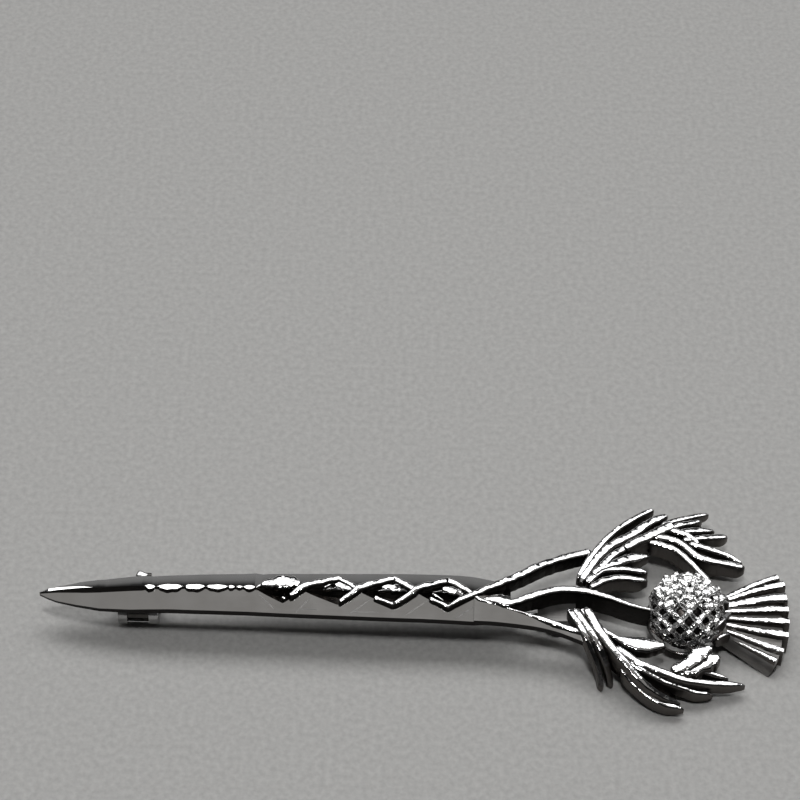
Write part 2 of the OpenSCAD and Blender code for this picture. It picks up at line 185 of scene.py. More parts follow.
# Mean half width, and height of the ridge over the edges
BLADE_HALF = [
    [0.0, 0.06], [1.0, 0.40], [2.14, 0.76], [4.28, 1.25], [6.95, 1.76], [10.7, 2.19],
    [18.7, 2.56], [29.4, 2.92], [42.8, 3.22], [51.9, 3.3], [55.1, 2.9], [56.7, 1.8],
]
BLADE_RIDGE = [
    [0.0, 0.03], [2.14, 0.22], [4.28, 0.37], [6.95, 0.5], [10.7, 0.62], [18.7, 0.88],
    [29.4, 1.05], [42.8, 1.1], [51.9, 1.1], [55.1, 0.9], [56.7, 0.66],
]
# Thickness of the blade's edge
EDGE = 0.85
# Where the plain blade ends, how far its real point runs on past it, and the reach of that stretch
BLADE_END = 56.6
POINT_RUN = 0.5
POINT_REACH = 6
# How far the blade's point droops, and what its near and far halves have over the mean
DROOP = [[0.0, 0.45], [1.9, 0.42], [4.3, 0.44], [6.9, 0.5], [10.6, 0.28], [15.4, 0.06], [20.0, 0.0]]
NEAR_EXTRA = [[0.0, 0.05], [1.0, 0.28], [1.9, 0.42], [4.3, 0.48], [6.9, 0.46], [10.6, 0.36],
              [15.4, 0.2], [25.0, 0.0]]
FAR_EXTRA = [[0.0, 0.0], [1.0, -0.02], [4.0, -0.12], [10.0, -0.22], [24.0, -0.06], [27.0, 0.22],
             [50.0, 0.3], [56.0, 0.0]]
# Share of the edge's thickness
EDGE_SHARE = [[0.0, 0.45], [2.0, 0.50], [8.0, 0.78], [13.0, 0.95], [16.0, 1.0]]
# Height of the crest's near wall
CREST_STEP = [[0.0, 0.18], [1.2, 0.29], [3.0, 0.46], [5.0, 0.64], [6.5, 0.64], [7.5, 0.56],
              [12.0, 0.58], [13.2, 0.36], [25.6, 0.32], [26.4, 0.0]]
# Width of the crest's near wall
WALL_RUN = [[0.0, 0.05], [2.5, 0.14], [5.0, 0.26], [12.0, 0.26], [13.0, 0.12]]
# Bright beads along the crest: middle, half length, half width
BEADS = [
    (13.05, 0.50, 0.40), (15.4, 1.42, 0.47), (18.4, 1.20, 0.42), (21.1, 1.20, 0.38),
    (22.8, 0.40, 0.24), (23.8, 0.32, 0.16), (25.0, 0.66, 0.32),
]
# Stations where the two strands cross, and where they lie farthest apart
CROSSINGS = [25.8, 31.27, 38.05, 45.0, 51.63]
SPREADS = [29.07, 35.7, 42.4, 48.9]
# Share of the half width that the strands swing out to, far and near, and the power of the swing
SWING_SHARE = 0.57
NEAR_SWING_SHARE = 0.62
SWING_POWER = 0.85
# Steps at which the near slope and the far slope are cut
NEAR_STEPS = (0.06, 0.3, 0.8, 1.0)
FAR_STEPS = (0.0, 0.12, 0.3, 0.5, 0.7, 0.88, 0.985)


def half_width(s, y):
    """Half the width of the blade on the side where y lies."""
    return table_value(BLADE_HALF, s) + table_value(NEAR_EXTRA if y < 0 else FAR_EXTRA, s)


def blade_foot(s):
    """Height of the blade's underside."""
    return back_height(s) - table_value(DROOP, s)


def crest_step(s):
    """Height of the crest's near wall."""
    return table_value(CREST_STEP, s)


def bead_half(s):
    """Half the width of the crest's flat at a station."""
    best = 0.0
    for middle, reach, half in BEADS:
        t = abs(s - middle) / reach
        if t < 1:
            best = max(best, half * (1 - t ** 2.4) ** 0.7 * (1 + 0.12 * math.sin(5.1 * s)))
    return best


def spread(s):
    """Share of the strands' widest distance at a station, and which crossing came before."""
    for i, apex in enumerate(SPREADS):
        low, high = CROSSINGS[i], CROSSINGS[i + 1]
        if low <= s < high:
            return ((s - low) / (apex - low) if s < apex else (high - s) / (high - apex)), i
    return 0.0, len(SPREADS)


def swing(s):
    """Half the width of the diamond between the strands at a station."""
    return SWING_SHARE * table_value(BLADE_HALF, s) * spread(s)[0] ** SWING_POWER


def blade_roof(s, y):
    """Height of the blade's plain roof at a station and side."""
    half = half_width(s, y)
    near_half = half_width(s, -1)
    ridge = max(table_value(BLADE_RIDGE, s), 0.31 * near_half)
    edge = EDGE * table_value(EDGE_SHARE, s)
    t = min(1.0, abs(y) / half)
    if y < 0:
        return blade_foot(s) + edge + ridge * (1 - t)
    step = crest_step(s)
    drop = blend_value(ridge, 0.34 * half, min(1.0, step / 0.32))
    return blade_foot(s) + edge + ridge + step - drop * (0.62 * t + 0.38 * t * t)


def blade_ring(s):
    """Section of the blade at a station, from its near foot over the crest to its far foot."""
    near_half, far_half = half_width(s, -1), half_width(s, 1)
    foot = blade_foot(s)
    near_edge = foot + EDGE * table_value(EDGE_SHARE, s)
    far_edge = blade_roof(s, far_half)
    crest = blade_roof(s, -0.0001)
    step = crest_step(s)
    ring = [(-near_half + 0.06, foot), (-near_half + 0.03, foot + 0.05),
            (-near_half, near_edge - 0.012), (-near_half + 0.012, None)]
    dip = swing(s)
    streak = max(0.0, min(1.0, (s + 0.1) / 0.8, (6.0 - s) / 3.6))
    if dip > 0.12:
        # The near half of a diamond is a steep pit
        near = dip + 0.05
        deep = min(0.62, 0.55 * dip)
        ring += [(-blend_value(near_half, near, k), None) for k in NEAR_STEPS]
        ring += [(-0.66 * near, blade_roof(s, -0.66 * near) - 0.55 * deep),
                 (-0.33 * near, blade_roof(s, -0.33 * near) - deep),
                 (-0.05, crest - 0.5 * deep - 0.02), (0.0, crest + step),
                 (0.3 * dip, None), (0.6 * dip, None)]
        start = dip
    else:
        # The crest has beads, and near the point a bright streak that leans
        cn = min(bead_half(s), 0.4 * near_half)
        full = min(1.0, cn / 0.15)
        top = crest + step + 0.06 * full
        streak_wide = max(0.40 * far_half, min(0.3, 0.8 * far_half)) * streak
        lean = 0.16 * max(0.0, min(1.0, (4.5 - s) / 2.5))
        far = max(cn * 0.9, streak_wide, 0.004)
        cn = max(cn, 0.004)
        run = table_value(WALL_RUN, s)
        reach = min(near_half * 0.7, cn + run + 0.1)
        flat = full > 0.1 or streak > 0.03
        wall = blend_value(blade_roof(s, -cn - run), top, 0.6)
        ring += [(-blend_value(near_half, reach, k), None) for k in NEAR_STEPS]
        ring += [(-cn - run, None), (-cn - 0.45 * run, wall),
                 (-cn, top - 0.012), (-0.2 * cn, top),
                 (0.6 * far, top + 0.6 * far * lean if flat else None),
                 (far, top + far * lean - 0.03 * full if flat else None)]
        start = far + 0.02 + 0.04 * full
    for k in FAR_STEPS:
        y = blend_value(start, far_half, k)
        ring.append((y, blade_roof(s, y)))
    ring += [(far_half, far_edge - 0.05), (far_half - 0.03, foot + 0.05),
             (far_half - 0.06, foot)]
    return [place(s, y, blade_roof(s, y) if z is None else z) for y, z in ring]


def make_blade(materials):
    bm = bmesh.new()
    stations = [0.0, 0.12, 0.3, 0.55] + [0.8 + 0.2 * k for k in range(280)]
    loft(bm, [blade_ring(s) for s in stations if s < BLADE_END])
    for v in bm.verts:
        s = v.co.x / MM + HALF_LEN
        v.co.x -= POINT_RUN * MM * max(0.0, 1 - s / POINT_REACH)
    for face in bm.faces:
        middle = face.calc_center_median() / MM
        s, y = middle.x + HALF_LEN, middle.y - AXIS_SIDE
        # Faces in the diamonds' pits take the near-black second material: painted shade
        in_shaded_pit = -swing(s) - 0.1 < y < 0.0 and middle.z > 5.0 and s > TWIST
        if in_shaded_pit and abs(face.normal.z) < 0.999:
            face.material_index = 1
    return finish_piece(bm, "blade", materials, "brooch", 9.0, ["casting"])


# Raised facets in the far halves of the diamonds: rows of station, side and width
PLATES = [
    [[26.3, 0.25, 0.7], [27.6, 0.70, 1.5], [29.1, 1.00, 2.1], [30.2, 0.85, 1.7],
     [31.1, 0.45, 0.8]],
    [[33.9, 0.2, 0.26], [34.5, 0.75, 0.3], [35.0, 1.3, 0.26]],
    [[35.2, 1.0, 0.9], [35.9, 0.75, 1.2], [36.7, 0.35, 1.0], [37.3, 0.0, 0.5]],
    [[40.8, 0.55, 0.5], [41.6, 0.75, 1.15], [42.4, 0.5, 1.3], [43.2, -0.05, 0.7]],
    [[48.1, 0.5, 0.85], [48.9, 0.5, 1.4], [49.8, 0.05, 1.45], [50.7, -0.5, 0.8]],
    [[46.9, -0.35, 0.28], [47.6, -0.75, 0.32], [48.4, -1.35, 0.28]],
    [[46.6, -0.9, 0.25], [47.3, -1.2, 0.3], [48.2, -1.75, 0.26]],
    [[28.85, -1.2, 0.35], [29.15, -1.3, 0.55], [29.45, -1.35, 0.35]],
]
# How far the plates stand over the roof, the first one and the others, and their height
FIRST_PLATE_RISE = 0.62
PLATE_RISE = 0.25
PLATE_HIGH = 0.9
# Thin lines on the near slope, painted dark as the shade of fine grooves: station and side of both
# ends
LINES = [
    (25.9, -0.45, 28.3, -2.6), (32.4, -0.9, 30.6, -2.85), (39.6, -1.0, 36.9, -2.95),
    (46.3, -1.1, 43.6, -3.0), (52.3, -1.2, 49.8, -3.05), (31.0, -2.35, 33.2, -2.35),
    (37.6, -2.55, 40.6, -2.55),
]


def make_plates(material):
    bm = bmesh.new()
    for i, rows in enumerate(PLATES):
        shape = []
        for s, y, wide in smooth_rows(rows, 4):
            rise = FIRST_PLATE_RISE if i == 0 else PLATE_RISE + PLATE_RISE * (y < 0)
            shape.append([s, y, blade_roof(s, y) + rise, wide, PLATE_HIGH])
        loft(bm, bar_rings(shape, root=True, rough=0.14, seed=90.0 + i))
    return finish_piece(bm, "twist_plates", [material], "brooch", 50.0)


def make_lines(material):
    """Low three-sided lines that follow the near slope, painted dark as the shade of fine grooves.
    """
    bm = bmesh.new()
    for s0, y0, s1, y1 in LINES:
        course = Vector((s1 - s0, y1 - y0)).normalized()
        rings = []
        for k in range(9):
            s, y = blend_value(s0, s1, k / 8), blend_value(y0, y1, k / 8)
            wide = 0.08 * min(1.0, (k + 0.4) / 2, (8.4 - k) / 2)
            ring = []
            for u, rise in ((-1, -0.1), (-1, 0.002), (0, 0.004), (1, 0.002), (1, -0.1)):
                a, b = s - course.y * u * wide, y + course.x * u * wide
                ring.append(place(a, b, blade_roof(a, b) + rise))
            rings.append(ring)
        loft(bm, rings)
    return finish_piece(bm, "slope_lines", [material], "brooch", 4.0)


# Strands of the twist and the stems that they become

STRAND_STEP = 0.35
# Width and lift of a stretch that runs inside the blade
HIDDEN = (0.3, -0.6)


def strand_rows(sign, end):
    """Rows of one strand. It climbs over the other where it runs away from the camera."""
    rows = []
    for k in range(int((end - TWIST) / STRAND_STEP) + 1):
        s = TWIST + STRAND_STEP * k
        wave, i = spread(s)
        side = sign * (1 if i % 2 == 0 else -1)
        share = SWING_SHARE if side > 0 else NEAR_SWING_SHARE
        y = side * share * table_value(BLADE_HALF, s) * wave ** SWING_POWER
        apex = SPREADS[min(i, len(SPREADS) - 1)]
        rising = s < apex if side > 0 else s > apex
        if rising:
            wide = blend_value(1.0, 0.85, wave) if side > 0 else blend_value(0.95, 0.5, wave)
            lift = 0.52 + 0.18 * (1 - wave)
            if i == 0 and side < 0 and s < 29.7:
                wide, lift = HIDDEN
        elif side > 0:
            wide, lift = (0.80 if i < 2 else 0.95), 0.40
        else:
            wide, lift = HIDDEN if i < 2 or wave < 0.42 else (0.62, 0.40)
        start = min(1.0, 0.45 + (s - TWIST) / 5)
        top = blend_value(blade_roof(s, y), blade_roof(s, -0.001), 0.5 if lift > 0 else 0.0)
        rows.append([s, y, top + lift * start, wide * start, 1.3 if lift > 0 else 0.4])
    return rows


# Stems: station, side, top, width, height
UPPER_STEM = [
    [53.3, 0.75, 6.35, 0.95, 2.0], [55.2, 1.9, 6.20, 1.05, 2.0], [57.5, 3.3, 6.05, 1.1, 2.1],
    [59.9, 5.0, 5.80, 1.15, 2.1], [62.4, 6.4, 5.45, 1.15, 2.1], [64.9, 7.5, 5.15, 1.1, 2.0],
    [66.3, 8.0, 4.95, 1.0, 2.0],
]
THISTLE_STEM = [
    [53.0, -0.55, 6.0, 0.6, 1.6], [54.6, -0.70, 6.15, 1.3, 2.0], [55.9, -1.0, 6.12, 1.5, 2.0],
    [56.9, -0.8, 6.05, 1.05, 2.1], [58.7, 0.1, 5.95, 1.15, 2.3], [60.5, 1.0, 5.75, 1.15, 2.6],
    [62.3, 1.6, 5.55, 1.15, 2.9], [64.2, 1.75, 5.35, 1.1, 3.1], [66.0, 1.6, 5.15, 1.0, 3.2],
    [68.5, 0.9, 4.95, 0.8, 3.2], [71.0, 0.0, 4.75, 0.6, 3.2], [72.9, -0.45, 4.6, 0.5, 3.2],
    [74.2, -0.5, 4.5, 0.5, 3.2],
]
LOWER_STEM = [
    [52.6, -0.75, 6.15, 0.5, 1.4], [55.0, -1.4, 5.95, 0.28, 1.5], [58.6, -2.5, 5.65, 0.32, 1.6],
    [60.2, -2.95, 5.5, 0.7, 1.6], [62.2, -3.6, 5.25, 0.9, 1.6], [64.4, -4.2, 5.0, 0.75, 1.6],
    [66.0, -4.9, 4.75, 0.5, 1.6],
]
# Sloping wedge that the near half of the blade runs out into: station, near side, inner side,
# height of the near edge
NEAR_TAIL = [
    [52.0, -3.3, -0.6, 5.2], [54.5, -3.4, -1.2, 5.2], [57.5, -3.65, -2.1, 5.1],
    [60.0, -3.95, -2.9, 4.95], [62.3, -4.45, -3.6, 4.7], [64.6, -5.25, -4.3, 4.4],
    [66.4, -5.9, -5.2, 4.1],
]
TAIL_SLOPE = 0.34


def make_strands(material):
    bm = bmesh.new()
    first = strand_rows(1, 50.5)
    second = strand_rows(-1, 51.0)
    loft(bm, bar_rings(first + smooth_rows([[52.2, 0.05, 6.50, 0.85, 1.6]] + UPPER_STEM, 6),
                       root=True, rough=0.10, seed=1.0))
    loft(bm, bar_rings(second + smooth_rows(LOWER_STEM, 6), root=True, rough=0.10, seed=2.0))
    loft(bm, bar_rings(smooth_rows(THISTLE_STEM, 6), root=True, rough=0.05, seed=3.0))
    return finish_piece(bm, "strands_and_stems", [material], "brooch", 50.0)


def make_tail(material):
    bm = bmesh.new()
    rings = []
    for s, near, inner, low in smooth_rows(NEAR_TAIL, 5):
        high = low + TAIL_SLOPE * (inner - near)
        rings.append([place(s, near + 0.04, low - EDGE), place(s, near, low - 0.02),
                      place(s, near + 0.015, low), place(s, inner, high),
                      place(s, inner + 0.25, high - 0.5), place(s, inner + 0.25, low - EDGE)])
    loft(bm, rings)
    return finish_piece(bm, "near_tail", [material], "brooch", 9.0)


# Leaves: lines of the fingers' tops as station, side, top; then width at root and at tip, and
# height

FAR_FINGERS = [
    ([(64.5, 3.68, 5.20), (66.1, 6.82, 5.19), (66.7, 7.78, 5.17), (68.0, 9.75, 5.11),
      (69.5, 11.52, 5.01), (71.3, 13.16, 4.85), (73.3, 14.71, 4.64), (74.2, 15.1, 4.54)],
     0.7, 0.6, 1.6),
    ([(64.9, 3.16, 5.16), (66.5, 6.29, 5.09), (68.1, 8.45, 5.00), (69.4, 9.64, 4.91),
      (71.3, 10.96, 4.77), (73.0, 12.60, 4.61), (74.2, 13.56, 4.47), (75.9, 14.6, 4.29)],
     0.9, 1.0, 1.7),
    ([(66.3, 4.11, 5.09), (68.0, 6.46, 4.92), (68.6, 7.31, 4.85), (69.9, 8.56, 4.70),
      (71.2, 9.45, 4.53), (72.5, 10.1, 4.33), (73.9, 10.44, 4.25)], 0.75, 0.85, 1.7),
    ([(66.4, 4.43, 5.03), (67.4, 5.43, 4.97), (68.9, 6.24, 4.83), (70.0, 6.88, 4.70),
      (71.0, 7.42, 4.57), (73.4, 8.14, 4.23)], 0.7, 1.25, 1.9),
    ([(65.7, 3.01, 5.12), (66.3, 3.93, 5.04), (67.6, 5.22, 4.87), (68.9, 5.55, 4.69),
      (70.3, 5.77, 4.46), (71.9, 5.78, 4.21), (73.1, 5.56, 4.05)], 0.8, 0.7, 1.9),
    ([(66.0, 2.3, 5.05), (67.4, 3.44, 4.90), (68.8, 4.13, 4.71), (70.1, 4.41, 4.50),
      (71.6, 4.45, 4.20), (73.1, 4.48, 3.94)], 0.8, 0.7, 2.1),
    ([(70.4, 8.6, 4.9), (71.6, 9.69, 4.84), (73.4, 10.82, 4.72), (74.5, 11.61, 4.62),
      (75.7, 12.45, 4.52), (76.6, 13.1, 4.44)], 1.0, 1.3, 1.8),
    ([(73.5, 9.95, 4.55), (74.3, 9.90, 4.50), (75.2, 9.66, 4.42), (76.5, 9.18, 4.30),
      (77.7, 8.09, 4.19), (78.9, 6.65, 4.09), (80.1, 5.14, 3.98), (80.5, 4.43, 3.96)],
     0.75, 0.65, 2.2),
    ([(73.9, 10.94, 4.55), (75.0, 10.85, 4.50), (76.3, 10.64, 4.40), (77.5, 9.97, 4.28),
      (78.5, 9.02, 4.15), (79.2, 8.44, 4.03), (80.6, 7.99, 3.80), (82.1, 7.88, 3.50),
      (84.0, 7.80, 3.08), (85.2, 7.7, 2.84)], 0.85, 0.8, 2.1),
    ([(78.4, 10.35, 4.06), (80.3, 9.88, 3.81), (81.9, 9.52, 3.53), (83.3, 9.09, 3.24),
      (84.9, 8.20, 2.92)], 0.75, 0.7, 1.9),
    ([(74.8, 11.9, 4.5), (75.7, 12.13, 4.45), (77.6, 11.81, 4.28), (78.9, 11.00, 4.10),
      (79.7, 10.09, 3.95)], 0.7, 0.7, 1.7),
    ([(75.0, 12.6, 4.50), (76.5, 13.57, 4.34), (78.2, 14.33, 4.08), (79.7, 15.02, 3.75),
      (81.1, 15.5, 3.49)], 0.75, 0.55, 1.5),
    ([(75.6, 12.18, 4.44), (77.4, 13.04, 4.26), (78.9, 13.70, 3.98), (80.2, 14.31, 3.66)],
     0.7, 0.6, 1.5),
    ([(76.6, 11.65, 4.32), (78.5, 12.24, 4.13), (79.8, 12.57, 3.89), (81.7, 12.9, 3.47)],
     0.8, 0.75, 1.6),
    ([(77.6, 10.64, 4.20), (79.2, 11.17, 4.00), (80.8, 11.61, 3.71), (82.3, 12.03, 3.35),
      (83.3, 12.2, 3.15)], 0.7, 0.8, 1.6),
]
NEAR_FINGERS = [
    ([(63.3, -1.10, 5.35), (64.4, -3.2, 5.35), (65.4, -5.2, 5.05), (66.3, -6.9, 4.0),
      (66.9, -8.0, 2.8), (67.2, -9.0, 1.5), (67.3, -9.6, 0.6)], 0.7, 0.55, 1.7),
    ([(64.0, -1.10, 5.40), (65.3, -3.4, 5.35), (66.5, -5.5, 5.05), (67.3, -6.95, 4.5),
      (67.9, -7.9, 3.3), (68.3, -8.6, 1.8), (68.6, -9.1, 0.6)], 0.8, 0.6, 1.8),
    ([(65.4, -0.82, 5.35), (66.8, -3.91, 5.31), (67.7, -5.53, 5.23), (68.7, -7.04, 5.03),
      (69.8, -8.25, 4.73), (71.2, -9.83, 4.16), (72.7, -11.00, 3.49), (74.3, -11.68, 2.72),
      (76.5, -12.1, 1.77)], 1.0, 0.7, 1.9),
    ([(69.6, -8.7, 3.75), (71.3, -10.32, 2.83), (72.8, -11.46, 2.35), (74.3, -12.25, 2.02),
      (76.9, -12.8, 1.61)], 0.8, 0.75, 1.7),
    ([(70.6, -8.0, 4.40), (71.7, -8.79, 4.14), (73.2, -9.40, 3.64), (74.8, -9.96, 3.16),
      (76.6, -10.27, 2.62), (78.3, -10.62, 2.16), (80.4, -10.6, 1.68)], 0.8, 0.7, 1.6),
    ([(68.8, -6.2, 4.65), (70.1, -7.10, 4.50), (71.3, -8.07, 4.38), (72.8, -8.60, 4.16),
      (74.3, -9.08, 3.87), (76.5, -9.60, 3.38), (78.8, -9.72, 2.87), (81.4, -9.5, 2.35),
      (84.3, -9.25, 1.81)], 0.85, 0.75, 1.6),
    ([(77.4, -7.9, 3.25), (78.9, -8.23, 3.05), (80.3, -8.47, 2.83), (82.3, -8.85, 2.48)],
     0.6, 0.5, 1.3),
]
# Wide curls of the near leaf: station, side, top, width, height
NEAR_CURLS = [
    [[64.9, -0.7, 5.0, 1.1, 1.5], [66.3, -2.6, 4.95, 1.0, 1.5], [67.6, -4.0, 4.90, 0.75, 1.5],
     [69.1, -5.0, 4.82, 0.75, 1.5], [70.2, -5.4, 4.72, 1.5, 1.5], [71.4, -5.6, 4.58, 2.25, 1.4],
     [72.7, -5.6, 4.42, 2.2, 1.3], [73.8, -5.5, 4.30, 1.6, 1.2], [74.9, -5.35, 4.18, 0.6, 1.1]],
    [[75.4, -8.7, 3.75, 1.0, 1.7], [76.3, -8.41, 3.79, 1.5, 1.7], [77.7, -7.65, 3.88, 2.0, 1.7],
     [78.6, -6.68, 3.92, 2.3, 1.7], [79.4, -5.91, 3.94, 1.9, 1.6], [80.4, -5.5, 3.94, 0.9, 1.5]],
    [[76.0, -8.9, 3.45, 0.9, 1.5], [76.9, -8.7, 3.49, 1.4, 1.5], [77.9, -8.3, 3.50, 1.9, 1.5],
     [79.0, -7.8, 3.55, 2.1, 1.5], [80.3, -7.0, 3.70, 1.8, 1.5], [81.3, -6.5, 3.70, 0.9, 1.4]],
]
# How far the webs' tops are lowered
WEB_DROP = 0.3
# Low webs that close the grooves between the fingers, painted near-black as shade: station, side,
# top, width, height
FAR_WEBS = [
    [[64.8, 3.2, 4.3, 1.3, 1.4], [67.0, 6.6, 4.2, 1.9, 1.5], [69.6, 9.9, 4.0, 2.4, 1.5],
     [72.6, 12.5, 3.7, 2.4, 1.4], [74.6, 13.7, 3.5, 1.5, 1.3]],
    [[65.8, 3.2, 4.2, 1.2, 1.4], [67.8, 5.2, 4.0, 2.2, 1.4], [70.2, 7.2, 3.7, 3.0, 1.4],
     [72.2, 8.4, 3.4, 2.2, 1.3]],
    [[66.0, 2.6, 4.2, 1.0, 1.4], [68.4, 4.6, 3.8, 1.6, 1.5], [71.0, 5.1, 3.4, 1.7, 1.5],
     [72.6, 5.0, 3.2, 1.2, 1.4]],
    [[70.6, 9.2, 4.1, 1.4, 1.4], [73.8, 11.3, 3.8, 2.2, 1.5], [76.4, 12.4, 3.5, 3.4, 1.4],
     [79.2, 12.9, 3.1, 4.2, 1.3], [80.6, 13.2, 2.9, 3.4, 1.2]],
    [[73.6, 10.5, 3.7, 1.0, 1.4], [76.2, 9.9, 3.5, 1.5, 1.6], [78.4, 8.6, 3.3, 1.8, 1.6],
     [80.4, 8.6, 2.9, 2.2, 1.5], [83.6, 8.3, 2.4, 1.3, 1.3]],
]
NEAR_WEBS = [
    [[64.2, -0.9, 4.4, 1.9, 1.3], [66.0, -3.6, 4.3, 2.6, 1.4], [68.0, -5.6, 4.0, 2.4, 1.6],
     [70.4, -7.9, 3.5, 2.2, 1.6], [73.0, -9.6, 2.6, 2.4, 1.5], [76.0, -10.6, 1.7, 2.6, 1.3]],
    [[69.2, -6.4, 4.0, 1.6, 1.5], [72.6, -8.6, 3.3, 1.9, 1.5], [76.4, -9.4, 2.6, 1.9, 1.3],
     [80.0, -9.5, 1.8, 1.6, 1.2]],
    [[67.2, -3.8, 4.2, 1.6, 1.4], [69.6, -5.4, 4.0, 1.4, 1.5], [72.6, -5.2, 3.8, 1.2, 1.4]],
    [[75.6, -8.8, 2.9, 1.4, 1.4], [78.2, -7.7, 3.0, 1.6, 1.5], [80.0, -6.4, 3.1, 1.3, 1.4]],
]


def make_leaf(name, fingers, curls, webs, materials, seed):
    bm = bmesh.new()
    for i, (line, root_wide, tip_wide, high) in enumerate(fingers):
        rows = smooth_rows(line, 5)
        last = len(rows) - 1
        rows = [[s, y, z,
                 1.25 * blend_value(root_wide, tip_wide, k / last) * min(1.0, 0.5 + (last - k) / 8),
                 min(high, z - 0.03) * min(1.0, 0.6 + (last - k) / 12)]
                for k, (s, y, z) in enumerate(rows)]
        loft(bm, bar_rings(rows, root=True, rough=0.06, seed=seed + 5.3 * i))
    for i, curl in enumerate(curls):
        loft(bm, bar_rings(smooth_rows(curl, 6), root=True, rough=0.13 if i else 0.07,
                           seed=seed + 3.1 * i))
    tops = len(bm.faces)
    for web in webs:
        rows = [[s, y, z - WEB_DROP, wide, high] for s, y, z, wide, high in smooth_rows(web, 4)]
        loft(bm, bar_rings(rows, root=True, rough=0.0))
    # The webs take the near-black second material: painted shade in the grooves
    paint_second(bm, tops)
    return finish_piece(bm, name, materials, "brooch", 50.0)


# Bulb

# Station of its middle, its half axes along the pin, across it and upwards, and the heights of its
# foot and of the wall below the dome
BULB_S = 77.58
BULB_A = 4.8
BULB_B = 5.15
BULB_C = 4.4
BULB_FOOT = 1.69
BULB_WALL = 1.5
# Squares of the lattice along and across, and the share of the dome's length that it covers
BULB_COLUMNS = 4
BULB_ROWS = 6
BULB_REACH = 0.92
# Steps that sink each cell of the lattice: inset and depth
BULB_PITS = ((0.30, 0.09), (0.10, 0.14), (0.06, 0.25))
BULB_PIT_FLOOR = (0.03, 0.40)
# Half axes of the base ring, and its rings over the foot: share of the axes, and rise
BASE_A = 4.62
BASE_B = 4.95
BASE_RINGS = ((1.035, 0.05), (1.035, 0.22), (1.0, 0.30), (0.985, 1.0), (0.96, 1.55))


def bulb_point(u, turn):
    """Point on the dome at a share of its half length and an angle from straight up."""
    r = math.sqrt(max(0.0, 1 - u * u))
    return place(BULB_S + BULB_A * u, BULB_B * r * math.sin(turn),
                 BULB_FOOT + BULB_WALL + BULB_C * r * math.cos(turn))


def extrude_rim(bm, rim):
    """Extrudes a row of edges, and returns the new points and edges."""
    made = bmesh.ops.extrude_edge_only(bm, edges=rim)["geom"]
    return ([g for g in made if isinstance(g, bmesh.types.BMVert)],
            [g for g in made if isinstance(g, bmesh.types.BMEdge)])


def make_bulb(materials):
    bm = bmesh.new()
    bmesh.ops.create_grid(bm, x_segments=BULB_COLUMNS, y_segments=BULB_ROWS, size=1.0)
    old_edges = [e for e in bm.edges if not e.is_boundary]
    bmesh.ops.poke(bm, faces=bm.faces[:])
    bmesh.ops.dissolve_edges(bm, edges=[e for e in old_edges if e.is_valid])
    bmesh.ops.subdivide_edges(bm, edges=bm.edges[:], cuts=3)
    for v in bm.verts:
        v.co = bulb_point(v.co.x * BULB_REACH, v.co.y * math.pi / 2)
    bmesh.ops.recalc_face_normals(bm, faces=bm.faces)
    middle = place(BULB_S, 0, BULB_FOOT + 1)
    up = sum(f.normal.dot(f.calc_center_median() - middle) for f in bm.faces)
    if up < 0:
        bmesh.ops.reverse_faces(bm, faces=bm.faces[:])
    cells = bm.faces[:]
    for thickness, depth in BULB_PITS:
        bmesh.ops.inset_individual(bm, faces=cells, thickness=thickness * MM, depth=-depth * MM)
    thickness, depth = BULB_PIT_FLOOR
    deep = bmesh.ops.inset_individual(bm, faces=cells, thickness=thickness * MM,
                                      depth=-depth * MM)
    # The inner steps and floors of the pits take the near-black second material: painted shade
    for face in deep["faces"] + cells:
        face.material_index = 1
    # The crusted far half is lumpier than the near half
    for v in bm.verts:
        spot = v.co / MM
        lump = 0.22 if spot.y > AXIS_SIDE - 0.6 else 0.10
        v.co.z += lump * MM * noise.noise(spot * 1.9)
        v.co.x += 0.5 * lump * MM * noise.noise(spot * 1.9 + Vector((9, 2, 4)))
    # A skirt runs down from the lattice's rim and is closed below
    verts, edges = extrude_rim(bm, [e for e in bm.edges if e.is_boundary])
    for v in verts:
        v.co.z -= 0.35 * MM
        v.co.x += (place(BULB_S, 0, 0).x - v.co.x) * 0.02
    verts, edges = extrude_rim(bm, edges)
    for v in verts:
        v.co.z = min(v.co.z, 2.2 * MM) if v.co.z < 3.4 * MM else v.co.z - 1.4 * MM
    bmesh.ops.holes_fill(bm, edges=edges, sides=0)
    bmesh.ops.remove_doubles(bm, verts=bm.verts[:], dist=0.01 * MM)
    # Body that closes the bulb under the lattice, painted near-black as shade
    lattice = len(bm.faces)
    bmesh.ops.create_uvsphere(
        bm, u_segments=40, v_segments=20, radius=1.0,
        matrix=Matrix.Translation(place(BULB_S, 0, BULB_FOOT + BULB_WALL - 0.25))
        @ Matrix.Diagonal((BULB_A * 0.93 * MM, BULB_B * 0.90 * MM, (BULB_C - 0.65) * MM, 1.0)))
    paint_second(bm, lattice)
    low = BULB_FOOT - 0.1
    bmesh.ops.bisect_plane(bm, geom=bm.verts[:] + bm.edges[:] + bm.faces[:],
                           plane_co=place(0, 0, low), plane_no=(0, 0, -1), clear_outer=True)
    return finish_piece(bm, "bulb", materials, "brooch", 50.0)


# Crust on the bulb's far half: rows of level-topped lumps, by angle from straight up and reach

CRUST = [(-20, 2.4), (-9, 2.9), (2, 3.3), (13, 3.4), (23, 3.3), (33, 2.9), (42, 2.2)]
CRUST_PITCH = 1.05
# Caps where the bars of the near half cross: angle, and shares of the lattice's half length
EVEN_CAPS = (-0.5, 0.0, 0.5)
ODD_CAPS = (-0.75, -0.25, 0.25, 0.75)
CAPS = ((-15, ODD_CAPS), (-30, EVEN_CAPS), (-45, ODD_CAPS), (-60, EVEN_CAPS))
LUMP_HIGH = 0.75


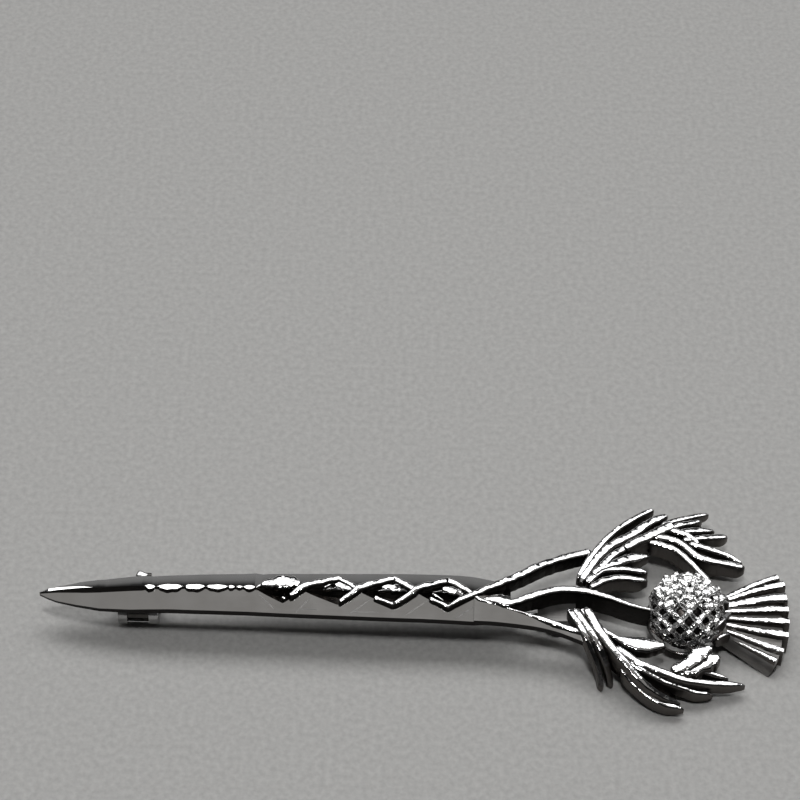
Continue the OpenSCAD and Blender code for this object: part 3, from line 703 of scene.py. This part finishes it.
def add_lump(bm, spot, wide, deep, turn, lean):
    """Rounded lump with a nearly level top."""
    made = bmesh.ops.create_cube(bm, size=1.0)["verts"]
    faces = list({f for v in made for f in v.link_faces})
    edges = list({e for v in made for e in v.link_edges})
    out = bmesh.ops.bevel(bm, geom=edges + faces + made, offset=0.16, segments=2, profile=0.5,
                          affect="EDGES", material=-1)
    body = list({v for f in out["faces"] for v in f.verts} | {v for v in made if v.is_valid})
    move = Matrix.Translation(spot) @ Matrix.Rotation(math.radians(lean), 4, "X") \
        @ Matrix.Rotation(turn, 4, "Z") \
        @ Matrix.Diagonal((wide * MM, deep * MM, LUMP_HIGH * MM, 1.0))
    for v in body:
        v.co = move @ v.co


def make_crust(material):
    bm = bmesh.new()
    for row, (angle, reach) in enumerate(CRUST):
        count = int(2 * reach / CRUST_PITCH)
        sink = 0.20 + 0.3 * (max(0, angle) / 42) ** 2
        for k in range(count + 1):
            u = (-reach + 2 * reach * (k + 0.5 * (row % 2)) / count) / BULB_A
            wobble = [noise.noise(Vector((3.7 * k, 5.3 * row, c))) for c in (1.5, 4.5, 8.5, 12.5)]
            if abs(u) > 0.86 or (row < 2 and k % 2):
                continue
            spot = bulb_point(u + 0.05 * wobble[0], math.radians(angle + 7 * wobble[1]))
            add_lump(bm, spot - Vector((0, 0, sink * MM)), 1.15 + 0.9 * wobble[1],
                     0.80 + 0.5 * wobble[2], 3.0 * wobble[2], 5 + 6 * wobble[3])
    for angle, shares in CAPS:
        for share in shares:
            spot = bulb_point(share * BULB_REACH, math.radians(angle))
            add_lump(bm, spot - Vector((0, 0, 0.22 * MM)), 0.75, 0.62, 0.7, 4)
    return finish_piece(bm, "bulb_crust", [material], "brooch", 50.0)


# Base ring of the bulb: an upright wall with a thin raised rim

def make_bulb_base(material):
    bm = bmesh.new()
    made = bmesh.ops.create_circle(bm, cap_ends=True, segments=56, radius=1.0)
    for v in made["verts"]:
        turn = math.atan2(v.co.y, v.co.x)
        v.co = place(BULB_S + BASE_A * math.cos(turn), BASE_B * math.sin(turn), BULB_FOOT)
    for grow, rise in BASE_RINGS:
        face = max(bm.faces, key=lambda f: f.calc_center_median().z + 1e-9 * f.calc_area())
        made = bmesh.ops.extrude_face_region(bm, geom=[face])["geom"]
        for v in (g for g in made if isinstance(g, bmesh.types.BMVert)):
            turn = math.atan2((v.co.y - AXIS_SIDE * MM) / BASE_B,
                              (v.co.x - place(BULB_S, 0, 0).x) / BASE_A)
            v.co = place(BULB_S + BASE_A * grow * math.cos(turn),
                         BASE_B * grow * math.sin(turn), BULB_FOOT + rise)
    return finish_piece(bm, "bulb_base", [material], "brooch", 40.0)


# Catch: the height of its axis, the rise of its lever in degrees, and the pad's station and reach

CATCH_Z = 1.8
LEVER_RISE = 18
PAD_S = 11.5
PAD_REACH = 4.35
# The tie bar's station, side, height, radius and length
BAR_SPOT = (11.4, -1.83, 1.72)
BAR_R = 0.13
BAR_LEN = 2.7


def make_lever_pad(material):
    """Rounded pad on the end of the catch's lever."""
    bm = bmesh.new()
    bmesh.ops.create_cube(bm, size=1.0)
    bmesh.ops.bevel(bm, geom=bm.edges[:], offset=0.24, segments=4, profile=0.5, affect="EDGES",
                    material=-1)
    rise = math.radians(LEVER_RISE)
    spot = place(PAD_S, PAD_REACH * math.cos(rise) - 0.25, CATCH_Z + PAD_REACH * math.sin(rise))
    bm.transform(Matrix.Translation(spot)
                 @ Matrix.Rotation(math.radians(-24), 4, "Z")
                 @ Matrix.Rotation(math.radians(6), 4, "X")
                 @ Matrix.Diagonal((1.5 * MM, 1.0 * MM, 0.92 * MM, 1.0)))
    return finish_piece(bm, "lever_pad", [material], "rotor", 50.0)


def make_catch_bar(material):
    """Thin bar that ties the catch's cheeks together on the near side."""
    bm = bmesh.new()
    along = Matrix.Translation(place(*BAR_SPOT)) @ Matrix.Rotation(math.pi / 2, 4, "Y")
    bmesh.ops.create_cone(bm, cap_ends=True, segments=12, radius1=BAR_R * MM, radius2=BAR_R * MM,
                          depth=BAR_LEN * MM, matrix=along)
    return finish_piece(bm, "catch_bar", [material], "brooch", 50.0)


# Flower: lines of the ridges' tops as station, side, top; then width at root and at tip, and height

RIDGES = [
    ([(82.2, 3.0, 2.45), (84.4, 4.45, 2.30), (87.0, 6.0, 2.05), (89.3, 7.1, 1.85)],
     0.62, 1.05, 1.9),
    ([(82.3, 2.5, 2.70), (84.6, 3.6, 2.68), (87.4, 4.75, 2.62), (89.9, 5.5, 2.50)],
     0.62, 1.10, 2.4),
    ([(82.3, 1.40, 3.25), (85.0, 2.0, 3.25), (87.6, 2.6, 3.25), (89.93, 2.95, 3.15)],
     0.95, 1.55, 2.9),
    ([(82.3, 0.20, 3.65), (85.0, 0.45, 3.65), (87.6, 0.75, 3.60), (89.95, 0.95, 3.50)],
     0.70, 1.10, 3.3),
    ([(82.4, -0.80, 3.70), (85.0, -0.95, 3.70), (87.6, -1.0, 3.65), (89.95, -0.95, 3.52)],
     0.68, 1.05, 3.4),
    ([(82.4, -1.60, 3.50), (85.0, -2.15, 3.45), (87.4, -2.55, 3.40), (89.75, -2.75, 3.25)],
     0.68, 1.05, 3.2),
    ([(82.5, -2.20, 3.00), (85.0, -3.25, 2.90), (87.2, -4.15, 2.80), (89.1, -4.75, 2.68)],
     0.62, 1.0, 2.6),
    ([(82.6, -2.60, 2.40), (85.0, -4.0, 2.25), (86.9, -5.05, 2.15), (88.2, -5.75, 2.02)],
     0.55, 0.9, 1.9),
]
# Smooth cone under the ridges, painted dull and dark as shade between them, at its root and at its
# rim: station, half width, height
CONE_S = (81.6, 89.2)
CONE_HALF = (2.6, 6.3)
CONE_HIGH = (2.3, 2.75)
# How far the rim bows in from its middle, on the near and the far side
NEAR_BOW = 1.9
FAR_BOW = 1.1


def make_flower(materials):
    bm = bmesh.new()
    for i, (line, root_wide, tip_wide, high) in enumerate(RIDGES):
        rows = smooth_rows(line, 5)
        last = len(rows) - 1
        rows = [[s, y, z, blend_value(root_wide, tip_wide, k / last),
                 min(high, z - max(0.02, back_height(s) - 0.05))]
                for k, (s, y, z) in enumerate(rows)]
        loft(bm, bar_rings(rows, tip=False, seed=40 + 3.7 * i, rough=0.05))
    tops = len(bm.faces)
    rings = []
    for k in range(9):
        t = k / 8
        s = blend_value(*CONE_S, t)
        half = blend_value(*CONE_HALF, t)
        high = blend_value(*CONE_HIGH, t)
        mid = -0.2 - 0.35 * t
        foot = max(0.02, back_height(s) - 0.1)
        ring = []
        for j in range(17):
            turn = math.pi * (j / 16)
            bow = NEAR_BOW if turn > math.pi / 2 else FAR_BOW
            back_in = bow * t * (1 - math.sin(turn))
            ring.append(place(s - back_in, mid + half * math.cos(turn),
                              foot + high * math.sin(turn) ** 0.8))
        rings.append(ring)
    loft(bm, rings)
    # The cone takes the dark second material: painted shade between the ridges
    paint_second(bm, tops)
    return finish_piece(bm, "flower", materials, "brooch", 45.0)


# Small leaves at the neck between bulb and flower, in the same form
SEPALS = [
    ([(80.5, -3.3, 4.6), (81.2, -2.6, 4.75), (81.9, -1.7, 4.65), (82.3, -0.9, 4.35),
      (82.9, -0.2, 3.95)], 0.7, 0.6, 1.8),
    ([(81.0, -3.9, 3.6), (82.0, -3.2, 3.5), (82.8, -2.7, 3.2)], 0.6, 0.5, 1.6),
    ([(81.0, 0.6, 4.9), (81.9, 0.9, 4.7), (82.8, 1.2, 4.1)], 0.75, 0.6, 1.8),
    ([(81.2, 2.0, 4.3), (82.0, 2.1, 4.1), (82.9, 2.2, 3.5)], 0.75, 0.6, 1.8),
    ([(81.2, 3.1, 3.3), (82.0, 3.1, 3.1), (82.8, 3.1, 2.7)], 0.7, 0.55, 1.6),
]


def make_sepals(material):
    bm = bmesh.new()
    for i, (line, root_wide, tip_wide, high) in enumerate(SEPALS):
        rows = smooth_rows(line, 5)
        last = len(rows) - 1
        rows = [[s, y, z, blend_value(root_wide, tip_wide, k / last), high]
                for k, (s, y, z) in enumerate(rows)]
        loft(bm, bar_rings(rows, root=True, seed=70 + 2.1 * i))
    return finish_piece(bm, "sepals", [material], "brooch", 50.0)


# Finishes

# Height share of a face's normal at which it counts as a wall that takes the painted shade, and as
# a top that keeps the metal's colour
WALL_TILT = 0.48
TOP_TILT = 0.80
WALL_ROUGHNESS = 0.3


def set_inputs(node, values):
    for key, value in values.items():
        node.inputs[key].default_value = value


def add_noise(nodes, links, vector, scale, detail):
    node = nodes.new("ShaderNodeTexNoise")
    set_inputs(node, {"Scale": scale, "Detail": detail})
    links.new(vector, node.inputs["Vector"])
    return node


def add_relief(nodes, links, shader, height, strength, distance):
    """Fine relief on a surface, from a height."""
    node = nodes.new("ShaderNodeBump")
    set_inputs(node, {"Strength": strength, "Distance": distance})
    links.new(height, node.inputs["Height"])
    links.new(node.outputs["Normal"], shader.inputs["Normal"])


def add_ramp(nodes, low, dark, high, light):
    """Colour ramp from a dark to a light colour."""
    node = nodes.new("ShaderNodeValToRGB")
    first, last = node.color_ramp.elements[0], node.color_ramp.elements[1]
    first.position, last.position = low, high
    first.color, last.color = (*dark, 1.0), (*light, 1.0)
    return node


def plating_group():
    """Shared polished plating: fine scratches, smudges and the soft waviness of a casting."""
    tree = bpy.data.node_groups.new("polished_plating", "ShaderNodeTree")
    for name, start in (("Scratch Roughness", 0.05), ("Smudge Roughness", 0.08),
                        ("Wave Height", 0.5), ("Wave Scale", 900.0)):
        socket = tree.interface.new_socket(name, in_out="INPUT", socket_type="NodeSocketFloat")
        socket.default_value = start
    for name in ("Roughness", "Height", "Tint"):
        tree.interface.new_socket(name, in_out="OUTPUT", socket_type="NodeSocketFloat")
    nodes, links = tree.nodes, tree.links
    enter = nodes.new("NodeGroupInput")
    leave = nodes.new("NodeGroupOutput")
    coords = nodes.new("ShaderNodeTexCoord")
    stretch = nodes.new("ShaderNodeMapping")
    stretch.inputs["Scale"].default_value = (260.0, 5200.0, 5200.0)
    links.new(coords.outputs["Object"], stretch.inputs["Vector"])
    scratch = add_noise(nodes, links, stretch.outputs["Vector"], 1.0, 3.0)
    smudge = add_noise(nodes, links, coords.outputs["Object"], 260.0, 4.0)
    wave = add_noise(nodes, links, coords.outputs["Object"], 1.0, 1.5)
    links.new(enter.outputs["Wave Scale"], wave.inputs["Scale"])

    def math_node(kind, a, b):
        node = nodes.new("ShaderNodeMath")
        node.operation = kind
        for socket, value in zip(node.inputs, (a, b)):
            if isinstance(value, (int, float)):
                socket.default_value = value
            else:
                links.new(value, socket)
        return node.outputs[0]

    rough_a = math_node("MULTIPLY", scratch.outputs["Fac"], enter.outputs["Scratch Roughness"])
    rough_b = math_node("MULTIPLY", smudge.outputs["Fac"], enter.outputs["Smudge Roughness"])
    links.new(math_node("ADD", rough_a, rough_b), leave.inputs["Roughness"])
    links.new(math_node("MULTIPLY", wave.outputs["Fac"], enter.outputs["Wave Height"]),
              leave.inputs["Height"])
    links.new(smudge.outputs["Fac"], leave.inputs["Tint"])
    return tree


PLATING = plating_group()


def plated_metal(name, light, dark, scratch, smudge, wave_height, wave_scale, bump, wall=None):
    """Metal with the shared plating: colours are picked by the plating's tint.

    Walls and undersides take the wall's colour, which is painted shade: faces that turn away from
    straight up are darkened."""
    material = bpy.data.materials.new(name)
    material.use_nodes = True
    nodes, links = material.node_tree.nodes, material.node_tree.links
    shader = nodes["Principled BSDF"]
    shader.inputs["Metallic"].default_value = 1.0
    plating = nodes.new("ShaderNodeGroup")
    plating.node_tree = PLATING
    set_inputs(plating, {"Scratch Roughness": scratch, "Smudge Roughness": smudge,
                         "Wave Height": wave_height, "Wave Scale": wave_scale})
    colour = add_ramp(nodes, 0.35, dark, 0.65, light)
    links.new(plating.outputs["Tint"], colour.inputs["Fac"])
    # Painted shade: faces leaning away from straight up blend into the dark wall colour, and steep
    # walls and undersides take it fully
    if wall:
        coords = nodes.new("ShaderNodeTexCoord")
        parts = nodes.new("ShaderNodeSeparateXYZ")
        links.new(coords.outputs["Normal"], parts.inputs["Vector"])
        upright = nodes.new("ShaderNodeMapRange")
        set_inputs(upright, {"From Min": WALL_TILT, "From Max": TOP_TILT, "To Min": 1.0,
                             "To Max": 0.0})
        links.new(parts.outputs["Z"], upright.inputs["Value"])
        wall_shade_mix = nodes.new("ShaderNodeMix")
        wall_shade_mix.data_type = "RGBA"
        links.new(upright.outputs["Result"], wall_shade_mix.inputs["Factor"])
        links.new(colour.outputs["Color"], wall_shade_mix.inputs["A"])
        wall_shade_mix.inputs["B"].default_value = (*wall, 1.0)
        links.new(wall_shade_mix.outputs["Result"], shader.inputs["Base Color"])
        dull = nodes.new("ShaderNodeMath")
        dull.operation = "MULTIPLY_ADD"
        links.new(upright.outputs["Result"], dull.inputs[0])
        dull.inputs[1].default_value = WALL_ROUGHNESS
        links.new(plating.outputs["Roughness"], dull.inputs[2])
        links.new(dull.outputs[0], shader.inputs["Roughness"])
    else:
        links.new(colour.outputs["Color"], shader.inputs["Base Color"])
        links.new(plating.outputs["Roughness"], shader.inputs["Roughness"])
    add_relief(nodes, links, shader, plating.outputs["Height"], 1.0, bump)
    return material


def table_top():
    """Pale, slightly warm sheet with a fine grain."""
    material = bpy.data.materials.new("pale_sheet")
    material.use_nodes = True
    nodes, links = material.node_tree.nodes, material.node_tree.links
    shader = nodes["Principled BSDF"]
    set_inputs(shader, {"Roughness": 0.75, "Specular IOR Level": 0.2})
    coords = nodes.new("ShaderNodeTexCoord")
    grain = add_noise(nodes, links, coords.outputs["Object"], 1400.0, 4.0)
    colour = add_ramp(nodes, 0.3, (0.53, 0.525, 0.515), 0.7, (0.64, 0.635, 0.62))
    links.new(grain.outputs["Fac"], colour.inputs["Fac"])
    links.new(colour.outputs["Color"], shader.inputs["Base Color"])
    add_relief(nodes, links, shader, grain.outputs["Fac"], 0.3, 0.0002)
    return material


# Name, light and dark colour, roughness of scratches and smudges, height and scale of the waves,
# depth of the relief in metres, and the colour of the walls, which is painted shade on walls and
# undersides
CAST = ((0.88, 0.88, 0.89), (0.74, 0.735, 0.73), 0.05, 0.12, 0.8, 1600.0, 0.00006)
CHROME = plated_metal("cast_chrome", *CAST, (0.13, 0.12, 0.112))
# Painted shade for pits, grooves and hollows: a near-black metal
PAINTED_RECESS_SHADE = plated_metal("painted_recess_shade", (0.09, 0.08, 0.075), (0.045, 0.04, 0.037),
                      0.20, 0.35, 0.4, 900.0, 0.00006)
# Painted shade for the cone between the flower's ridges
PETAL_SIDE_SHADE = plated_metal("petal_side_painted_shade", (0.36, 0.35, 0.34), (0.26, 0.25, 0.24),
                          0.40, 0.70, 0.3, 900.0, 0.00006)
STRAND = plated_metal("strand_chrome", *CAST, (0.03, 0.028, 0.026))
BULB_CHROME = plated_metal("bulb_chrome", (0.9, 0.9, 0.9), (0.76, 0.755, 0.75),
                           0.08, 0.34, 1.0, 1900.0, 0.0002)
# Dark dull grey for the hinge bracket, also used on the slope lines as painted groove shade
BRACKET_AND_LINE_SHADE = plated_metal("dull_bracket_and_line_shade", (0.26, 0.255, 0.25), (0.16, 0.155, 0.15),
                       0.40, 0.60, 0.3, 1200.0, 0.00003)
BLADE_CHROME = plated_metal("blade_chrome", (0.86, 0.855, 0.85), (0.79, 0.78, 0.77),
                            0.06, 0.07, 0.12, 500.0, 0.00004, (0.024, 0.022, 0.021))
STEEL = plated_metal("finding_steel", (0.50, 0.50, 0.50), (0.30, 0.295, 0.29),
                     0.12, 0.14, 0.6, 1500.0, 0.00006)
# Painted shade: the catch's barrel under the blade is coloured near-black
BARREL_SHADE = plated_metal("barrel_painted_shade", (0.11, 0.105, 0.10), (0.05, 0.048, 0.045),
                      0.20, 0.30, 0.3, 1200.0, 0.00003)
WIRE = plated_metal("stem_steel", (0.82, 0.82, 0.83), (0.72, 0.72, 0.72),
                    0.16, 0.08, 0.2, 1500.0, 0.00002)

make_blade([BLADE_CHROME, PAINTED_RECESS_SHADE])
make_plates(STRAND)
make_lines(BRACKET_AND_LINE_SHADE)
make_strands(STRAND)
make_tail(BLADE_CHROME)
make_leaf("far_leaf", FAR_FINGERS, [], FAR_WEBS, [CHROME, PAINTED_RECESS_SHADE], 10.0)
make_leaf("near_leaf", NEAR_FINGERS, NEAR_CURLS, NEAR_WEBS, [CHROME, PAINTED_RECESS_SHADE], 20.0)
make_bulb([BULB_CHROME, PAINTED_RECESS_SHADE])
make_crust(BULB_CHROME)
make_bulb_base(CHROME)
make_flower([CHROME, PETAL_SIDE_SHADE])
make_sepals(CHROME)
make_lever_pad(STEEL)
make_catch_bar(WIRE)

for node, material in (("hinge_bracket", BRACKET_AND_LINE_SHADE), ("hinge_rivet", STEEL),
                       ("catch_housing", STEEL), ("catch_rotor", BARREL_SHADE), ("pin_stem", WIRE)):
    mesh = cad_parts[node].data
    mesh.materials.clear()
    mesh.materials.append(material)


# Floor, lights, camera and room

CAMERA_PITCH = 48.0
CAMERA_YAW = 1.6
CAMERA_PLACE = (0.00343, -0.19316, 0.25359)
CAMERA_LENS = 117.0
FLOOR_HALF = 4.0
# Grey of the room by height, and straight above
ROOM_GREYS = ((0.0, 0.2), (0.12, 0.19), (0.26, 0.15), (0.40, 0.02), (0.9, 0.02))
ROOM_TOP = 0.03


def add_floor():
    bm = bmesh.new()
    bmesh.ops.create_grid(bm, x_segments=1, y_segments=1, size=FLOOR_HALF)
    mesh = bpy.data.meshes.new("floor")
    bm.to_mesh(mesh)
    bm.free()
    mesh.materials.append(table_top())
    floor = bpy.data.objects.new("floor", mesh)
    bpy.context.scene.collection.objects.link(floor)


def add_panel(name, elevation, azimuth, distance, wide, high, radiance, colour=(1, 1, 1)):
    """Area light that faces the pin. Azimuth 0 lies behind it, towards +Y."""
    light = bpy.data.lights.new(name, "AREA")
    light.shape = "RECTANGLE"
    light.size = wide
    light.size_y = high
    light.color = colour
    light.energy = radiance * math.pi * wide * high
    lamp = bpy.data.objects.new(name, light)
    up, turn = math.radians(elevation), math.radians(azimuth)
    lamp.location = (distance * math.cos(up) * math.sin(turn),
                     distance * math.cos(up) * math.cos(turn), distance * math.sin(up))
    lamp.rotation_euler = (-lamp.location).to_track_quat("-Z", "Y").to_euler()
    lamp.visible_camera = False
    bpy.context.scene.collection.objects.link(lamp)


def add_camera():
    """Camera fitted to the photo."""
    pitch, yaw = math.radians(CAMERA_PITCH), math.radians(CAMERA_YAW)
    ahead = Vector((-math.sin(yaw) * math.cos(pitch), math.cos(yaw) * math.cos(pitch),
                    -math.sin(pitch)))
    right = Vector((math.cos(yaw), math.sin(yaw), 0))
    above = right.cross(ahead)
    view = bpy.data.cameras.new("camera")
    view.sensor_width = 36.0
    view.lens = CAMERA_LENS
    view.clip_start = 0.01
    view.clip_end = 20.0
    camera = bpy.data.objects.new("camera", view)
    camera.matrix_world = Matrix((
        (right.x, above.x, -ahead.x, CAMERA_PLACE[0]),
        (right.y, above.y, -ahead.y, CAMERA_PLACE[1]),
        (right.z, above.z, -ahead.z, CAMERA_PLACE[2]),
        (0, 0, 0, 1)))
    bpy.context.scene.collection.objects.link(camera)
    bpy.context.scene.camera = camera


def add_room():
    """World that is lighter near the horizon, for the plating to reflect."""
    world = bpy.data.worlds.new("room")
    world.use_nodes = True
    nodes, links = world.node_tree.nodes, world.node_tree.links
    bearing = nodes.new("ShaderNodeTexCoord")
    axes = nodes.new("ShaderNodeSeparateXYZ")
    links.new(bearing.outputs["Generated"], axes.inputs["Vector"])
    shade = nodes.new("ShaderNodeValToRGB")
    ramp = shade.color_ramp
    for height, grey in ROOM_GREYS:
        stop = ramp.elements.new(height) if height else ramp.elements[0]
        stop.color = (grey, grey, grey, 1)
    ramp.elements[-1].color = (ROOM_TOP, ROOM_TOP, ROOM_TOP, 1)
    links.new(axes.outputs["Z"], shade.inputs["Fac"])
    links.new(shade.outputs["Color"], nodes["Background"].inputs["Color"])
    front = nodes.new("ShaderNodeMapRange")
    set_inputs(front, {"From Min": -0.25, "From Max": 0.05, "To Min": 0.3, "To Max": 1.0})
    links.new(axes.outputs["Y"], front.inputs["Value"])
    links.new(front.outputs["Result"], nodes["Background"].inputs["Strength"])
    bpy.context.scene.world = world


add_floor()
add_camera()
# Name, elevation, azimuth, distance, width, height, radiance and colour
add_panel("window", 57.0, 0.0, 2.2, 3.0, 0.85, 3.0)
add_panel("low_window", 43.0, 0.0, 2.2, 3.0, 0.26, 1.15)
add_panel("ceiling", 84.0, 0.0, 1.4, 2.4, 0.62, 0.19, (1.0, 0.97, 0.93))
add_panel("lamp", 78.0, 180.0, 0.6, 0.10, 0.10, 25.0)

add_room()
bpy.context.scene.view_settings.view_transform = "Standard"

bpy.context.view_layer.update()
